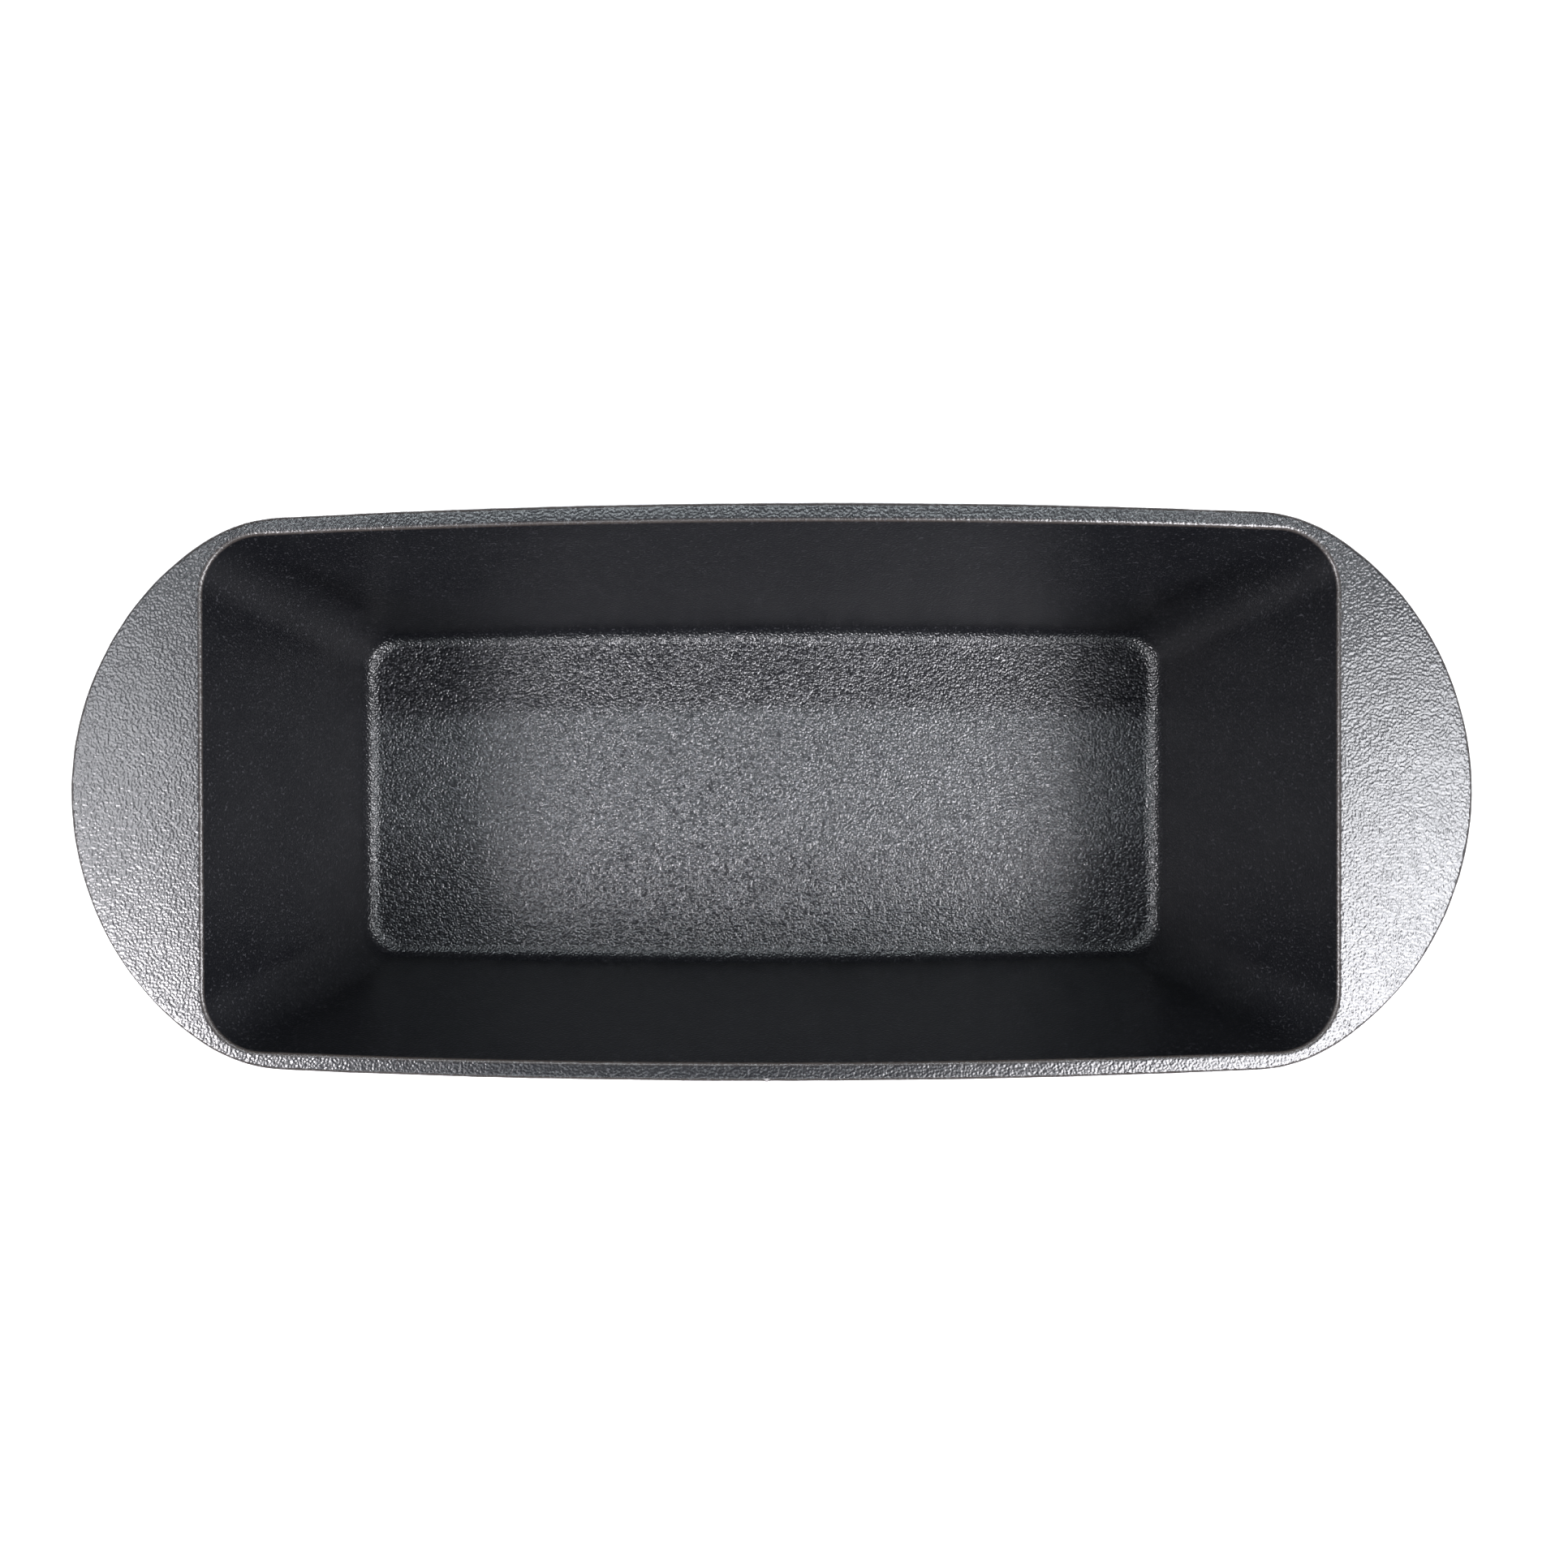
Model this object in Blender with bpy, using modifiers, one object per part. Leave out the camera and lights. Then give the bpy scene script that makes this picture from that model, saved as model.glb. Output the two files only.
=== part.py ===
"""Cast iron loaf pan with two half-moon handles, cast in one piece.

Metres, +Z up, +X along the length. The origin is the centre of the base, on the surface the pan stands on.
The casting is symmetric about X and Y, so one quarter of it is lofted through horizontal outlines, mirrored
twice, and then rounded along its edges.
"""

import math

import bmesh
import bpy
from mathutils import Vector
from mathutils.geometry import intersect_sphere_sphere_2d

# Overall size
LENGTH = 0.335  # tip to tip over the handles
WIDTH = 0.1387  # across the rim's sharp edges, halfway along; rounding them takes off half a millimetre
HEIGHT = 0.081
DRAFT = math.radians(10.4)  # slope of every wall, inside and out

# Cavity
OPENING_LENGTH = 0.271
OPENING_WIDTH = 0.1293
OPENING_CORNER = 0.0145
OPENING_BOW = 2.88  # radius of the long sides, which bow outwards
FLOOR_THICKNESS = 0.005
FLOOR_CORNER = 0.011
FLOOR_BOW = 3.9
FLOOR_FILLET = 0.005  # between the floor and the walls
INNER_LIP = 0.001  # rounding of the rim's inner edge

# Rim and handles
RIM_BOW = 2.5
HANDLE_RADIUS = 0.0732
HANDLE_BLEND = 0.038  # where a handle's arc runs into the long side
HANDLE_THICKNESS = 0.006
HANDLE_RUNOUT = 0.015  # how far below the rim a handle's root lies once it has sunk into a long side
HANDLE_FILLET = 0.005  # under the handle, in the corner with the end wall
OUTER_LIP = 0.0012  # rounding of the rim's outer edges

# Outside of the tub
END_WALL = 0.0043  # measured level, at the rim
OUTER_CORNER = 0.0205
BASE_CORNER = 0.016
BASE_BOW = 3.6
BASE_EDGE = 0.005

# How finely a quarter of each outline is divided, and each rounded edge
END_STEPS = 12
CORNER_STEPS = 8
SIDE_STEPS = 5
ROUND_STEPS = 3


def heading(angle):
    return Vector((math.cos(angle), math.sin(angle)))


def bearing(vector):
    return math.atan2(vector.y, vector.x)


def tub_rays(half_length, half_width, corner, bow):
    """Origin, direction and reach of the outline's points, from +X round to +Y.

    They run level out of the straight end, fan round the corner's centre, and fan round the side's.
    """
    side_centre = Vector((0.0, half_width - bow))
    corner_x = half_length - corner
    corner_y = side_centre.y + math.sqrt((bow - corner) ** 2 - corner_x**2)
    corner_centre = Vector((corner_x, corner_y))
    join = bearing(corner_centre - side_centre)
    rays = []
    for i in range(END_STEPS):
        rays.append((Vector((corner_x, corner_y * i / END_STEPS)), heading(0.0), corner))
    for i in range(CORNER_STEPS):
        rays.append((corner_centre, heading(join * i / CORNER_STEPS), corner))
    for i in range(SIDE_STEPS + 1):
        angle = join + (math.pi / 2 - join) * i / SIDE_STEPS
        rays.append((side_centre, heading(angle), bow))
    return rays


def tub_outline(*sizes):
    """A quarter outline: straight end, rounded corner and bowed long side."""
    return [origin + direction * reach for origin, direction, reach in tub_rays(*sizes)]


def rim_arcs():
    """Centre, radius and last bearing of the rim's arcs: the handle, the blend and the long side."""
    handle_centre = Vector((LENGTH / 2 - HANDLE_RADIUS, 0.0))
    side_centre = Vector((0.0, WIDTH / 2 - RIM_BOW))
    # The blend touches both arcs from inside, which fixes how far its centre is from each of theirs.
    from_handle = HANDLE_RADIUS - HANDLE_BLEND
    from_side = RIM_BOW - HANDLE_BLEND
    centres = intersect_sphere_sphere_2d(handle_centre, from_handle, side_centre, from_side)
    blend_centre = max(centres, key=lambda centre: centre.x)
    return [
        (handle_centre, HANDLE_RADIUS, bearing(blend_centre - handle_centre)),
        (blend_centre, HANDLE_BLEND, bearing(blend_centre - side_centre)),
        (side_centre, RIM_BOW, math.pi),
    ]


def rim_point(origin, direction, arcs):
    """Where a ray from inside the pan leaves the rim."""
    for centre, radius, last_bearing in arcs:
        offset = origin - centre
        along = offset.dot(direction)
        under_root = along**2 - offset.length_squared + radius**2
        if under_root < 0:
            continue
        point = origin + direction * (math.sqrt(under_root) - along)
        if bearing(point - centre) <= last_bearing:
            return point
    raise ValueError("the ray misses the rim")


def at_height(outline, z):
    return [Vector((point.x, point.y, z)) for point in outline]


def between(upper, lower, z):
    """The outline that straight walls from the upper to the lower outline have at the height z."""
    share = (upper[0].z - z) / (upper[0].z - lower[0].z)
    return [a.lerp(b, share) for a, b in zip(upper, lower, strict=True)]


def change(before, after, first, last):
    """An outline that changes smoothly from one outline to another between two of its points."""
    outline = []
    for i, (a, b) in enumerate(zip(before, after, strict=True)):
        t = min(max((i - first) / (last - first), 0.0), 1.0)
        outline.append(a.lerp(b, t * t * (3.0 - 2.0 * t)))
    return outline


def casting_outlines():
    """The quarter outlines in order from the cavity's floor, over the rim, to the base."""
    half_opening = (OPENING_LENGTH / 2, OPENING_WIDTH / 2)
    inset = (HEIGHT - FLOOR_THICKNESS) * math.tan(DRAFT)
    half_floor = [half - inset for half in half_opening]
    floor = at_height(tub_outline(*half_floor, FLOOR_CORNER, FLOOR_BOW), FLOOR_THICKNESS)
    opening = at_height(tub_outline(*half_opening, OPENING_CORNER, OPENING_BOW), HEIGHT)

    half_outside = (OPENING_LENGTH / 2 + END_WALL, WIDTH / 2)
    taper = HEIGHT * math.tan(DRAFT)
    half_base = [half - taper for half in half_outside]
    outside_rays = tub_rays(*half_outside, OUTER_CORNER, RIM_BOW)
    outside = at_height(tub_outline(*half_outside, OUTER_CORNER, RIM_BOW), HEIGHT)
    base = at_height(tub_outline(*half_base, BASE_CORNER, BASE_BOW), 0.0)

    arcs = rim_arcs()
    rim_points = [rim_point(origin, direction, arcs) for origin, direction, reach in outside_rays]
    rim = at_height(rim_points, HEIGHT)
    # Round the corner the handle's lower edge and its root move into the wall, where the handle runs out.
    corner_end = END_STEPS + CORNER_STEPS
    underside = HEIGHT - HANDLE_THICKNESS
    wall = between(outside, base, underside)
    sunk = between(outside, base, HEIGHT - HANDLE_RUNOUT)
    edge = change(at_height(rim_points, underside), wall, END_STEPS + 2, corner_end)
    root = change(wall, sunk, END_STEPS - 4, END_STEPS + 4)
    return [floor, opening, rim, edge, root, base]


def setback(radius, corner_angle):
    """How far from a corner a round of this radius starts."""
    return radius / math.tan(corner_angle / 2)


def round_setbacks():
    """The setback of the round along each outline, in the same order as the outlines."""
    square = math.pi / 2
    wide = square + DRAFT
    corners = [
        (FLOOR_FILLET, wide),
        (INNER_LIP, wide),
        (OUTER_LIP, square),
        (OUTER_LIP, square),
        (HANDLE_FILLET, wide),
        (BASE_EDGE, wide),
    ]
    return [setback(radius, angle) for radius, angle in corners]


def build_casting(collection, material):
    """Lofts the quarter, marks how far each edge is rounded, and mirrors and rounds it."""
    bm = bmesh.new()
    weights = bm.edges.layers.float.new("bevel_weight_edge")
    rings = [[bm.verts.new(point) for point in outline] for outline in casting_outlines()]
    for inner, outer in zip(rings, rings[1:], strict=False):
        for i in range(len(inner) - 1):
            bm.faces.new((inner[i], outer[i], outer[i + 1], inner[i + 1]))
    for ring, z in ((rings[0], FLOOR_THICKNESS), (rings[-1], 0.0)):
        bm.faces.new([bm.verts.new((0.0, 0.0, z))] + ring)
    bmesh.ops.recalc_face_normals(bm, faces=bm.faces)

    setbacks = round_setbacks()
    widest = max(setbacks)
    for ring, width in zip(rings, setbacks, strict=True):
        for start, end in zip(ring, ring[1:], strict=False):
            bm.edges.get((start, end))[weights] = width / widest

    mesh = bpy.data.meshes.new("pan_casting")
    bm.to_mesh(mesh)
    bm.free()
    mesh.shade_smooth()
    mesh.materials.append(material)
    casting = bpy.data.objects.new("pan_casting", mesh)
    collection.objects.link(casting)

    mirror = casting.modifiers.new("Both halves", "MIRROR")
    mirror.use_axis = (True, True, False)
    mirror.merge_threshold = 0.0001
    rounding = casting.modifiers.new("Rounded edges", "BEVEL")
    rounding.limit_method = "WEIGHT"
    rounding.width = widest
    rounding.segments = ROUND_STEPS
    rounding.use_clamp_overlap = False
    return casting


def seasoned_iron():
    material = bpy.data.materials.new("seasoned_cast_iron")
    material.use_nodes = True
    shader = material.node_tree.nodes["Principled BSDF"]
    shader.inputs["Base Color"].default_value = (0.035, 0.036, 0.039, 1.0)
    shader.inputs["Roughness"].default_value = 0.5
    shader.inputs["Metallic"].default_value = 0.4
    return material


def main():
    for old in list(bpy.data.objects):
        bpy.data.objects.remove(old)
    collection = bpy.data.collections.new("loaf_pan")
    bpy.context.scene.collection.children.link(collection)
    build_casting(collection, seasoned_iron())


main()
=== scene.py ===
"""Looks of the cast iron loaf pan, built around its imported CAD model.

The casting is swept anew as one fine mesh: rings of points run round the pan, from the middle of the
cavity's floor up over the rim and down to the middle of the base. Metres, +Z up, +X along the length.
"""

import math

import bmesh
import bpy
import numpy as np
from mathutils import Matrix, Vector, noise


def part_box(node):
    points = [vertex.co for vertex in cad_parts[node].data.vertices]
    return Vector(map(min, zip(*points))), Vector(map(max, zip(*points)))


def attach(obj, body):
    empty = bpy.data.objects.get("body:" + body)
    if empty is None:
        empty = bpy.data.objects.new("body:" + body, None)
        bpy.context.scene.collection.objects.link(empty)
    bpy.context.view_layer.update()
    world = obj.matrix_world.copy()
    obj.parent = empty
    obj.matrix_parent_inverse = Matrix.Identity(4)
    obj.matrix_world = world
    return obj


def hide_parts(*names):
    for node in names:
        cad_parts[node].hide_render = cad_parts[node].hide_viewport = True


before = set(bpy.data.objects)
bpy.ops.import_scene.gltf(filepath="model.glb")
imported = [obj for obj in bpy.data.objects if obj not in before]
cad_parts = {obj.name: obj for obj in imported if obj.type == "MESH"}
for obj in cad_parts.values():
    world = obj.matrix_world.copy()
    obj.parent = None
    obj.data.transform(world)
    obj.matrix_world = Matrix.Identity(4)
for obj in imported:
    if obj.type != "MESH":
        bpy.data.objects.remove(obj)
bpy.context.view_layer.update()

# Overall size, from the CAD model
PAN_LOW, PAN_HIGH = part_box("pan_casting")
LENGTH = PAN_HIGH.x - PAN_LOW.x
HEIGHT = PAN_HIGH.z - PAN_LOW.z

# The casting's sharp outlines, as the CAD model has them
RIM_WIDTH = 0.1387
RIM_BOW = 2.5
DRAFT = math.radians(10.4)
OPENING_LENGTH = 0.271
OPENING_WIDTH = 0.1293
OPENING_CORNER = 0.0145
OPENING_BOW = 2.88
FLOOR_THICKNESS = 0.005
FLOOR_CORNER = 0.011
FLOOR_BOW = 3.9
HANDLE_RADIUS = 0.0732
HANDLE_BLEND = 0.038
HANDLE_THICKNESS = 0.006
HANDLE_RUNOUT = 0.015
END_WALL = 0.0043
OUTER_CORNER = 0.0205
BASE_CORNER = 0.016
BASE_BOW = 3.6

# Radii of the rounded edges
FLOOR_FILLET = 0.005
INNER_LIP = 0.001
OUTER_LIP = 0.0012
HANDLE_FILLET = 0.005
BASE_EDGE = 0.005

# Where a handle's lower edge and its root run out into the wall, in the terms of station_shares()
EDGE_RUNOUT = (1.25, 2.0)
ROOT_RUNOUT = (0.67, 1.5)

# Points along a quarter of each ring; those at the middle of the long side are close together for the burr
END_STEPS = 36
CORNER_STEPS = 20
SIDE_STEPS = 72
MIDDLE_STEPS = 8
MIDDLE_SHARE = 0.03

# Unevenness of the casting: how high and how long its waves are, everywhere and along the rounded lips
WAVES = ((0.00007, 0.022), (0.00003, 0.006))
LIP_WAVES = ((0.00006, 0.0045),)

# The burr that the mould's joint left halfway along the front rim's outer edge, which is coloured a paler
# grey
BURR_LENGTH = 0.001
BURR_HEIGHT = 0.0003

# Cast grain: the scale and depth of its fine cells and its coarser ripples, and how much of each there is
CELL_SCALE = 1700.0
CELL_DEPTH = 0.0004
RIPPLE_SCALE = 420.0
RIPPLE_DEPTH = 0.00012
FLOOR_GRAIN = (1.0, 0.25)
WALL_GRAIN = (0.22, 0.1)
OUTSIDE_GRAIN = (0.29, 0.2)

# The film of baked oil: its gloss, its two blacks and the scale of the patches in which they change
ROUGHNESS = 0.3
WALL_ROUGHNESS = 0.34
PATCH_SCALE = 60.0
THICK_OIL = (0.0022, 0.0024, 0.0034, 1.0)
THIN_OIL = (0.0036, 0.0038, 0.0048, 1.0)

# Colours over the black: worn iron on the lips, painted glints on the tops of the grain in place of its
# specular sparkle, and a paler grey on the burr
LIP_WEAR = 0.45
WORN_LIP = (0.045, 0.036, 0.031, 1.0)
# The painted glints' colour: lighter grain tops that stand in for specular sparkle
PAINTED_GLINT = (0.045, 0.045, 0.05, 1.0)
# The paler grey that the burr is coloured
PALE_BURR = (0.2, 0.19, 0.19, 1.0)

# The corners between the faces that meet at the rounded edges
SQUARE = math.pi / 2
WIDE = SQUARE + DRAFT

# The rounded edges from the cavity's floor to the base: radius, corner, rings, and whether it is a lip
EDGES = (
    (FLOOR_FILLET, WIDE, 8, False),
    (INNER_LIP, WIDE, 6, True),
    (OUTER_LIP, SQUARE, 6, True),
    (OUTER_LIP, SQUARE, 6, True),
    (HANDLE_FILLET, WIDE, 6, False),
    (BASE_EDGE, WIDE, 7, False),
)

# The stretches before, between and after the rounded edges: rings and grain
STRETCHES = (
    (20, FLOOR_GRAIN),
    (30, WALL_GRAIN),
    (11, OUTSIDE_GRAIN),  # the rim's top, with the handles'
    (3, OUTSIDE_GRAIN),
    (9, OUTSIDE_GRAIN),  # the handles' underside
    (28, OUTSIDE_GRAIN),
    (16, OUTSIDE_GRAIN),  # the base
)

# The studio floor, which lies just clear of the pan's base so that the two don't flicker through each other
FLOOR_SIZE = 30.0
FLOOR_GAP = 0.0002

# The camera, placed from the middle of the rim
LENS = 24.6
LENS_SHIFT = (0.0344, 0.0155)
CAMERA_ASIDE = (-0.00536, -0.00244)
CAMERA_ABOVE = 0.2556
CAMERA_TILT = (-0.00516, 0.01259, -0.00296)

# The pale sweep round the studio, and how it fades from To Min to To Max as the view turns upwards, where
# level is 0 and straight up is 1
SWEEP_COLOUR = (0.95, 0.97, 1.0, 1.0)
SWEEP_FADE = {"From Min": 0.3, "From Max": 0.65, "To Min": 0.5, "To Max": 0.02}

# Colours of the studio lights
WARM_VIOLET = (0.99, 0.96, 1.0)
NEUTRAL = (0.95, 0.96, 1.0)
COOL = (0.88, 0.96, 1.0)

# The soft lights: name, place from the middle of the rim, size, power and colour
SOFTBOXES = (
    ("right", (0.44, -0.07, 0.45), (0.3, 0.18), 5.7, NEUTRAL),
    ("right_front", (0.52, -0.4, 0.7), (0.3, 0.3), 13.0, WARM_VIOLET),
    ("left", (-0.47, 0.04, 0.45), (0.2, 0.18), 2.0, NEUTRAL),
    ("left_front", (-0.51, -0.22, 0.45), (0.12, 0.18), 7.7, WARM_VIOLET),
    ("behind", (0.0, 0.29, 0.45), (0.8, 0.025), 3.3, COOL),
    ("front", (0.0, -0.45, 0.6), (0.8, 0.06), 2.8, COOL),
)


def unit(vectors):
    return vectors / np.linalg.norm(vectors, axis=1, keepdims=True)


def headings(angles):
    return np.column_stack((np.cos(angles), np.sin(angles)))


def bearing(vector):
    return math.atan2(vector[1], vector[0])


def tub_rays(half_length, half_width, corner, bow):
    """Origins, directions and reaches of a quarter outline's points, from +X round to +Y.

    They run level out of the straight end, fan round the corner's centre, and fan round the side's.
    """
    side_centre = np.array((0.0, half_width - bow))
    corner_x = half_length - corner
    corner_y = side_centre[1] + math.sqrt((bow - corner) ** 2 - corner_x**2)
    corner_centre = np.array((corner_x, corner_y))
    join = bearing(corner_centre - side_centre)
    up_the_end = np.arange(END_STEPS) / END_STEPS
    round_corner = np.arange(CORNER_STEPS) / CORNER_STEPS
    along_side = side_shares()
    origins = np.vstack((
        np.column_stack((np.full(END_STEPS, corner_x), corner_y * up_the_end)),
        np.tile(corner_centre, (CORNER_STEPS, 1)),
        np.tile(side_centre, (len(along_side), 1)),
    ))
    angles = np.concatenate((
        np.zeros(END_STEPS),
        join * round_corner,
        join + (math.pi / 2 - join) * along_side,
    ))
    reaches = np.concatenate((np.full(END_STEPS + CORNER_STEPS, corner), np.full(len(along_side), bow)))
    return origins, headings(angles), reaches[:, None]


def side_shares():
    """Where the points along a long side are, from 0 at the corner to 1 halfway along the pan."""
    middle = 1.0 - MIDDLE_SHARE
    outer_steps = SIDE_STEPS - MIDDLE_STEPS
    return np.concatenate((
        middle * np.arange(outer_steps) / outer_steps,
        middle + MIDDLE_SHARE * np.arange(MIDDLE_STEPS + 1) / MIDDLE_STEPS,
    ))


def tub_outline(*sizes):
    origins, directions, reaches = tub_rays(*sizes)
    return origins + directions * reaches


def blend_centre(handle_centre, side_centre):
    """Centre of the arc that joins the handle's arc to the long side's, touching both from inside."""
    from_handle = HANDLE_RADIUS - HANDLE_BLEND
    from_side = RIM_BOW - HANDLE_BLEND
    between_centres = side_centre - handle_centre
    apart = np.linalg.norm(between_centres)
    along = (apart**2 + from_handle**2 - from_side**2) / (2 * apart)
    across = math.sqrt(from_handle**2 - along**2)
    forward = between_centres / apart
    return handle_centre + forward * along + np.array((-forward[1], forward[0])) * across


def rim_arcs():
    """Centre, radius and last bearing of the rim's arcs: the handle, the blend and the long side."""
    handle_centre = np.array((LENGTH / 2 - HANDLE_RADIUS, 0.0))
    side_centre = np.array((0.0, RIM_WIDTH / 2 - RIM_BOW))
    blend = blend_centre(handle_centre, side_centre)
    return [
        (handle_centre, HANDLE_RADIUS, bearing(blend - handle_centre)),
        (blend, HANDLE_BLEND, bearing(blend - side_centre)),
        (side_centre, RIM_BOW, math.pi),
    ]


def rim_point(origin, direction, arcs):
    """Where a ray from inside the pan leaves the rim."""
    for centre, radius, last_bearing in arcs:
        offset = origin - centre
        along = offset @ direction
        under_root = along**2 - offset @ offset + radius**2
        if under_root < 0:
            continue
        point = origin + direction * (math.sqrt(under_root) - along)
        if bearing(point - centre) <= last_bearing:
            return point
    raise ValueError("the ray misses the rim")


def at_height(outline, z):
    return np.column_stack((outline[:, :2], np.full(len(outline), z)))


def between(upper, lower, z):
    """The outline that straight walls from the upper to the lower outline have at the height z."""
    share = (upper[0, 2] - z) / (upper[0, 2] - lower[0, 2])
    return upper + (lower - upper) * share


def change(before, after, first, last):
    """An outline that changes smoothly from one outline to another between two shares of the quarter."""
    t = np.clip((station_shares() - first) / (last - first), 0.0, 1.0)
    return before + (after - before) * (t * t * (3.0 - 2.0 * t))[:, None]


def station_shares():
    """Where the points of a quarter outline are.

    They count from 0 to 1 up the end, to 2 round the corner and to 3 along the side.
    """
    return np.concatenate((
        np.arange(END_STEPS) / END_STEPS,
        1.0 + np.arange(CORNER_STEPS) / CORNER_STEPS,
        2.0 + side_shares(),
    ))


def casting_outlines():
    """The sharp quarter outlines in order from the cavity's floor, over the rim, to the base."""
    half_opening = (OPENING_LENGTH / 2, OPENING_WIDTH / 2)
    inset = (HEIGHT - FLOOR_THICKNESS) * math.tan(DRAFT)
    half_floor = [half - inset for half in half_opening]
    floor = at_height(tub_outline(*half_floor, FLOOR_CORNER, FLOOR_BOW), FLOOR_THICKNESS)
    opening = at_height(tub_outline(*half_opening, OPENING_CORNER, OPENING_BOW), HEIGHT)

    half_outside = (OPENING_LENGTH / 2 + END_WALL, RIM_WIDTH / 2)
    taper = HEIGHT * math.tan(DRAFT)
    half_base = [half - taper for half in half_outside]
    origins, directions, reaches = tub_rays(*half_outside, OUTER_CORNER, RIM_BOW)
    outside = at_height(origins + directions * reaches, HEIGHT)
    base = at_height(tub_outline(*half_base, BASE_CORNER, BASE_BOW), 0.0)

    arcs = rim_arcs()
    rim_points = np.array([rim_point(*ray, arcs) for ray in zip(origins, directions, strict=True)])
    rim = at_height(rim_points, HEIGHT)
    underside = HEIGHT - HANDLE_THICKNESS
    wall = between(outside, base, underside)
    sunk = between(outside, base, HEIGHT - HANDLE_RUNOUT)
    # Round the corner the handle's lower edge and its root move into the wall, where the handle runs out.
    edge = change(at_height(rim_points, underside), wall, *EDGE_RUNOUT)
    root = change(wall, sunk, *ROOT_RUNOUT)
    return [floor, opening, rim, edge, root, base]


def whole_ring(quarter):
    """The ring whose quarter this is, starting on the +X axis and running round by +Y."""
    mirrored = quarter * (-1.0, 1.0, 1.0)
    half = np.vstack((quarter[:-1], mirrored[::-1]))
    return np.vstack((half[:-1], (half * (1.0, -1.0, 1.0))[::-1][:-1]))


def spine(outline):
    """Points along the middle of the floor or base, where the rings close in on themselves."""
    half_length, half_width = outline[0, 0], outline[-1, 1]
    end = half_length - half_width
    x = outline[:, 0] * end / outline[END_STEPS + CORNER_STEPS, 0]
    return np.column_stack((np.minimum(x, end), np.zeros(len(outline)), outline[:, 2]))


def setback(radius, corner_angle):
    """How far from a corner a round of this radius starts."""
    return radius / math.tan(corner_angle / 2)


def rounded(before, corner, after, start, steps):
    """Rings of a circular arc in place of a sharp edge, starting that far from it on either side."""
    incoming = unit(corner - before)
    outgoing = unit(after - corner)
    first = corner - incoming * start
    last = corner + outgoing * start
    half_turn_cosine = np.sqrt((1.0 + (incoming * outgoing).sum(1, keepdims=True)) / 2)
    rings = []
    for t in np.linspace(0.0, 1.0, steps + 1):
        a, b, c = (1.0 - t) ** 2, 2.0 * t * (1.0 - t) * half_turn_cosine, t**2
        rings.append((a * first + b * corner + c * last) / (a + b + c))
    return rings


def casting_rings():
    """Quarter rings over the whole surface, and of each its cells, its ripples and its share of a lip."""
    outlines = casting_outlines()
    path = [spine(outlines[0]), *outlines, spine(outlines[-1])]
    rings = [path[0]]
    looks = [(*FLOOR_GRAIN, 0.0)]
    for i, (radius, corner, round_steps, is_lip) in enumerate(EDGES, start=1):
        (steps, grain), (_, next_grain) = STRETCHES[i - 1 : i + 1]
        arc = rounded(path[i - 1], path[i], path[i + 1], setback(radius, corner), round_steps)
        rings += stretch(rings[-1], arc[0], steps) + arc[1:]
        looks += [(*grain, 0.0)] * steps
        for share in np.arange(1, round_steps + 1) / round_steps:
            blended = np.array(grain) + (np.array(next_grain) - grain) * share**2
            looks.append((*blended, is_lip * math.sin(math.pi * share)))
    last_steps, last_grain = STRETCHES[-1]
    rings += stretch(rings[-1], path[-1], last_steps)
    looks += [(*last_grain, 0.0)] * last_steps
    return rings, looks


def stretch(first, last, steps):
    """Rings after the first one across a stretch of wall, up to the last one."""
    return [first + (last - first) * i / steps for i in range(1, steps + 1)]


def sweep(rings):
    """Vertices and faces of the closed surface that the whole rings make."""
    loops = [whole_ring(ring) for ring in rings]
    around = len(loops[0])
    points = np.vstack(loops)
    faces = []
    for row in range(len(loops) - 1):
        for i in range(around):
            here, there = row * around + i, row * around + (i + 1) % around
            faces.append((here, here + around, there + around, there))
    return points, faces


def waves(point, sizes):
    """How far the unevenness moves the surface at a point."""
    return sum(depth * noise.noise(point / wavelength) for depth, wavelength in sizes)


def burr(points):
    """How much of the burr is at each point: 1 at its middle, on the front rim's outer edge."""
    x, y, z = points.T
    along = np.exp(-((x / BURR_LENGTH * 2.0) ** 2))
    across = np.exp(-(((HEIGHT - OUTER_LIP / 2 - z) / OUTER_LIP) ** 2))
    return along * across * (y < OUTER_LIP - RIM_WIDTH / 2)


def build_casting(material):
    """The whole casting as one closed mesh, which tells its material how much grain, lip wear and pale burr
    there is.
    """
    rings, looks = casting_rings()
    points, faces = sweep(rings)
    mesh = bpy.data.meshes.new("loaf_pan_casting")
    mesh.from_pydata(points.tolist(), [], faces)
    around = len(points) // len(rings)
    for name, values in zip(("cells", "ripples", "lip"), np.repeat(looks, around, axis=0).T, strict=True):
        mesh.attributes.new(name, "FLOAT", "POINT").data.foreach_set("value", values)
    casting = bpy.data.objects.new("loaf_pan_casting", mesh)
    bpy.context.scene.collection.objects.link(casting)
    weld_spines(mesh)
    roughen(mesh)
    mesh.shade_smooth()
    mesh.materials.append(material)
    weighted = casting.modifiers.new("Weighted normals", "WEIGHTED_NORMAL")
    weighted.mode = "FACE_AREA"
    weighted.keep_sharp = False
    return casting


def weld_spines(mesh):
    """Joins the points that meet along the middles of the floor and the base."""
    bm = bmesh.new()
    bm.from_mesh(mesh)
    bmesh.ops.remove_doubles(bm, verts=bm.verts, dist=1e-6)
    bmesh.ops.recalc_face_normals(bm, faces=bm.faces)
    bm.to_mesh(mesh)
    bm.free()


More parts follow.
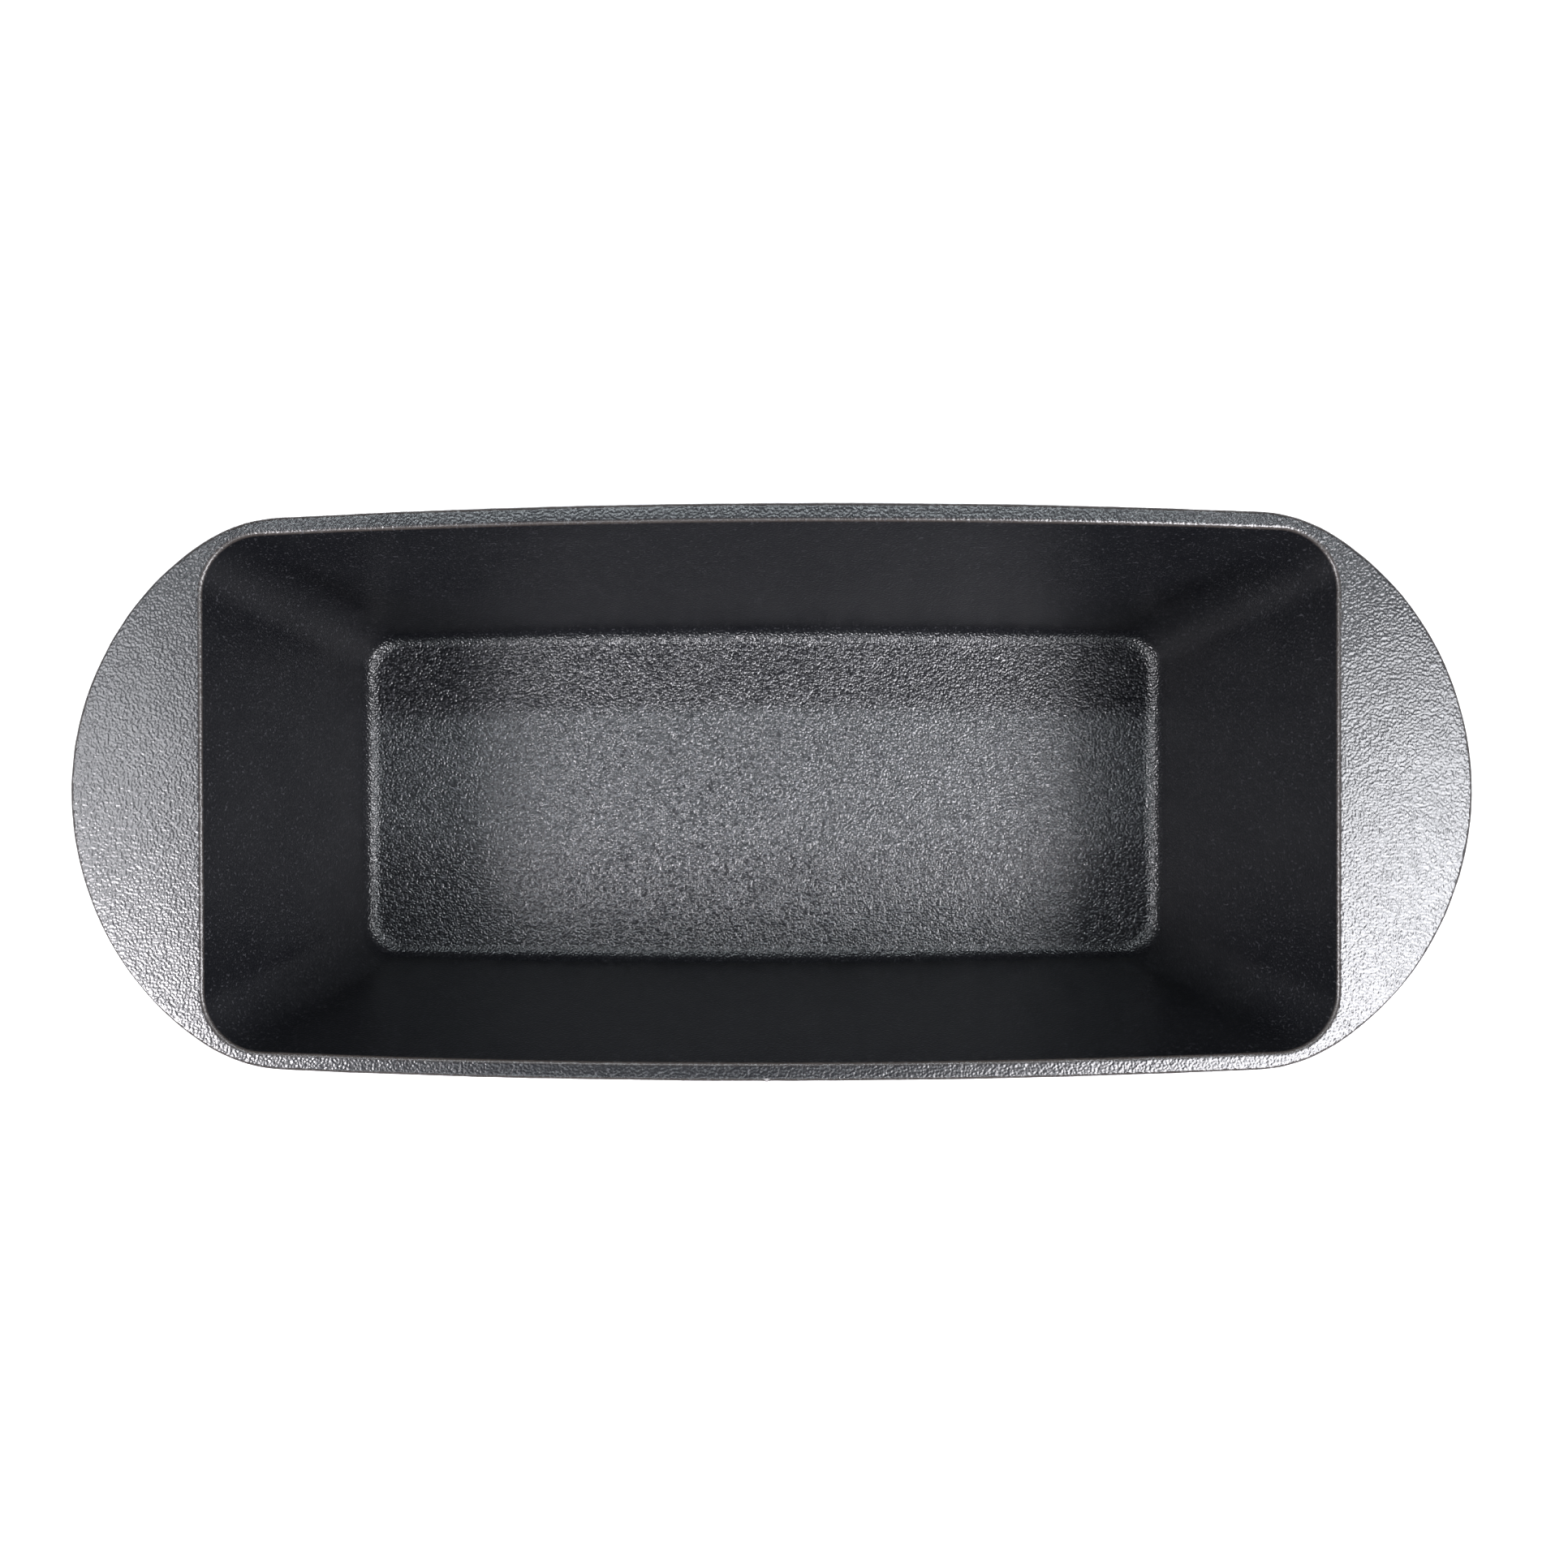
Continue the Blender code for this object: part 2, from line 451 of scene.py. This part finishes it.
def roughen(mesh):
    """Moves the surface by the casting's unevenness and its burr, but never below the floor."""
    points = vectors_of(mesh.vertices, "co")
    normals = vectors_of(mesh.vertices, "normal")
    lips = np.empty(len(points), np.float32)
    mesh.attributes["lip"].data.foreach_get("value", lips)
    heights = np.array([waves(Vector(point), WAVES) for point in points])
    on_lips = np.flatnonzero(lips)
    heights[on_lips] += lips[on_lips] * [waves(Vector(point), LIP_WAVES) for point in points[on_lips]]
    burrs = burr(points)
    mesh.attributes.new("pale_burr", "FLOAT", "POINT").data.foreach_set("value", burrs)
    points += normals * heights[:, None]
    points[:, 1] -= BURR_HEIGHT * burrs
    points[:, 2] = np.maximum(points[:, 2], 0.0)
    mesh.vertices.foreach_set("co", points.ravel())
    mesh.update()


def vectors_of(elements, name):
    """One vector of each element of a mesh, as an array with a row for each."""
    values = np.empty(3 * len(elements), np.float32)
    elements.foreach_get(name, values)
    return values.reshape(-1, 3)


class Shader:
    """A material's node tree, with short ways to add its nodes."""

    def __init__(self, name):
        self.material = bpy.data.materials.new(name)
        self.material.use_nodes = True
        self.tree = self.material.node_tree
        self.surface = self.tree.nodes["Principled BSDF"]

    def node(self, kind, settings=None, **inputs):
        """A new node with these settings and inputs; an input's name has underscores for spaces."""
        node = self.tree.nodes.new(kind)
        for name, value in (settings or {}).items():
            setattr(node, name, value)
        for name, value in inputs.items():
            self.put(node.inputs[name.replace("_", " ")], value)
        return node

    def put(self, socket, value):
        """Links another node's output to the socket, or sets a plain value on it."""
        if isinstance(value, bpy.types.NodeSocket):
            self.tree.links.new(value, socket)
        else:
            socket.default_value = value

    def noise(self, place, scale, detail):
        return self.node("ShaderNodeTexNoise", Vector=place, Scale=scale, Detail=detail).outputs["Fac"]

    def attribute(self, name):
        return self.node("ShaderNodeAttribute", {"attribute_name": name}).outputs["Fac"]

    def math(self, operation, first, second):
        node = self.node("ShaderNodeMath", {"operation": operation})
        self.put(node.inputs[0], first)
        self.put(node.inputs[1], second)
        return node.outputs[0]

    def span(self, value, low, high, to_low=0.0, to_high=1.0):
        """The value carried from one range to another, and kept inside it."""
        node = self.node("ShaderNodeMapRange")
        for socket, setting in zip(node.inputs, (value, low, high, to_low, to_high), strict=False):
            self.put(socket, setting)
        return node.outputs[0]

    def mix(self, share, first, second):
        node = self.node("ShaderNodeMix", {"data_type": "RGBA"})
        self.put(node.inputs["Factor"], share)
        self.put(node.inputs[6], first)
        self.put(node.inputs[7], second)
        return node.outputs[2]


def seasoned_iron():
    """Black seasoned iron with an orange-peel grain: fine cells on coarser ripples."""
    shader = Shader("seasoned_cast_iron")
    place = shader.node("ShaderNodeTexCoord").outputs["Object"]
    fine = shader.noise(place, CELL_SCALE, 0.0)
    patches = shader.noise(place, PATCH_SCALE, 3.0)
    cells = shader.math("MULTIPLY", fine, shader.attribute("cells"))
    ripples = shader.math("MULTIPLY", shader.noise(place, RIPPLE_SCALE, 1.0), shader.attribute("ripples"))
    cell_relief = shader.math("MULTIPLY", cells, CELL_DEPTH)
    ripple_relief = shader.math("MULTIPLY", ripples, RIPPLE_DEPTH)
    relief = shader.math("ADD", cell_relief, ripple_relief)
    bump = shader.node("ShaderNodeBump", Strength=1.0, Distance=1.0, Height=relief)
    shader.put(shader.surface.inputs["Specular IOR Level"], 0.5)
    shader.put(shader.surface.inputs["Base Color"], iron_colour(shader, fine, cells, patches))
    shader.put(shader.surface.inputs["Roughness"], iron_gloss(shader, patches))
    shader.put(shader.surface.inputs["Normal"], bump.outputs["Normal"])
    return shader.material


def iron_colour(shader, fine, cells, patches):
    """Patchy black, with worn iron on the lips, painted glints on the tops of the grain and a paler grey on
    the burr.
    """
    black = shader.mix(shader.span(patches, 0.35, 0.7), THICK_OIL, THIN_OIL)
    wear = shader.math("MULTIPLY", shader.attribute("lip"), LIP_WEAR)
    worn = shader.mix(wear, black, WORN_LIP)
    # Painted glints: the cells' tops are painted lighter on the floor, where the cells are strong, and the
    # tallest grains everywhere, in place of the grain's specular sparkle.
    painted_cell_glints = shader.span(cells, 0.5, 0.9)
    painted_speck_glints = shader.span(fine, 0.68, 0.78, 0.0, 0.5)
    painted_glints = shader.math("MAXIMUM", painted_cell_glints, painted_speck_glints)
    with_painted_glints = shader.mix(painted_glints, worn, PAINTED_GLINT)
    return shader.mix(shader.attribute("pale_burr"), with_painted_glints, PALE_BURR)


def iron_gloss(shader, patches):
    """Roughness: where the grain is fine the oil is drier, so the walls are duller than the rest."""
    smooth = shader.span(
        shader.attribute("cells"), WALL_GRAIN[0], OUTSIDE_GRAIN[0], WALL_ROUGHNESS, ROUGHNESS
    )
    uneven = shader.span(patches, 0.3, 0.7, -0.01, 0.02)
    return shader.math("ADD", smooth, uneven)


def pale_floor():
    """A pale floor that glows a little, as a light table does, so the pan throws hardly any shadow."""
    shader = Shader("pale_floor")
    shader.put(shader.surface.inputs["Base Color"], (0.5, 0.5, 0.5, 1.0))
    shader.put(shader.surface.inputs["Roughness"], 0.8)
    shader.put(shader.surface.inputs["Emission Color"], (1.0, 1.0, 1.0, 1.0))
    shader.put(shader.surface.inputs["Emission Strength"], 0.4)
    return shader.material


def build_floor():
    half = FLOOR_SIZE / 2
    mesh = bpy.data.meshes.new("studio_floor")
    corners = [(x * half, y * half, -FLOOR_GAP) for x, y in ((-1, -1), (1, -1), (1, 1), (-1, 1))]
    mesh.from_pydata(corners, [], [(0, 1, 2, 3)])
    mesh.materials.append(pale_floor())
    floor = bpy.data.objects.new("studio_floor", mesh)
    bpy.context.scene.collection.objects.link(floor)
    return floor


def build_camera():
    """Looks straight down into the pan from a little way off its middle."""
    data = bpy.data.cameras.new("camera")
    data.sensor_width = 36.0
    data.lens = LENS
    data.shift_x, data.shift_y = LENS_SHIFT
    camera = bpy.data.objects.new("camera", data)
    camera.location = (*CAMERA_ASIDE, HEIGHT + CAMERA_ABOVE)
    camera.rotation_euler = CAMERA_TILT
    bpy.context.scene.collection.objects.link(camera)
    bpy.context.scene.camera = camera


def build_softbox(name, place, size, power, colour):
    """A soft light that faces the middle of the rim."""
    data = bpy.data.lights.new(name, "AREA")
    data.shape = "RECTANGLE"
    data.size, data.size_y = size
    data.energy = power
    data.color = colour
    light = bpy.data.objects.new(name, data)
    light.location = Vector((0.0, 0.0, HEIGHT)) + Vector(place)
    light.rotation_euler = (-Vector(place)).to_track_quat("-Z", "Y").to_euler()
    light.visible_camera = False
    bpy.context.scene.collection.objects.link(light)


def light_studio():
    """A pale sweep all round, dark overhead, and softboxes close round the camera.

    There is a pair of them on each side, a strip behind and another in front.
    """
    world = bpy.data.worlds.new("studio")
    world.use_nodes = True
    nodes, links = world.node_tree.nodes, world.node_tree.links
    background = nodes["Background"]
    background.inputs["Color"].default_value = SWEEP_COLOUR
    direction = nodes.new("ShaderNodeSeparateXYZ")
    links.new(nodes.new("ShaderNodeTexCoord").outputs["Generated"], direction.inputs["Vector"])
    fade = nodes.new("ShaderNodeMapRange")
    fade.interpolation_type = "SMOOTHSTEP"
    for name, value in SWEEP_FADE.items():
        fade.inputs[name].default_value = value
    links.new(direction.outputs["Z"], fade.inputs["Value"])
    links.new(fade.outputs["Result"], background.inputs["Strength"])
    bpy.context.scene.world = world
    for row in SOFTBOXES:
        build_softbox(*row)


casting = build_casting(seasoned_iron())
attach(casting, "root")
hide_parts("pan_casting")
build_floor()
build_camera()
light_studio()
bpy.context.scene.view_settings.view_transform = "Standard"
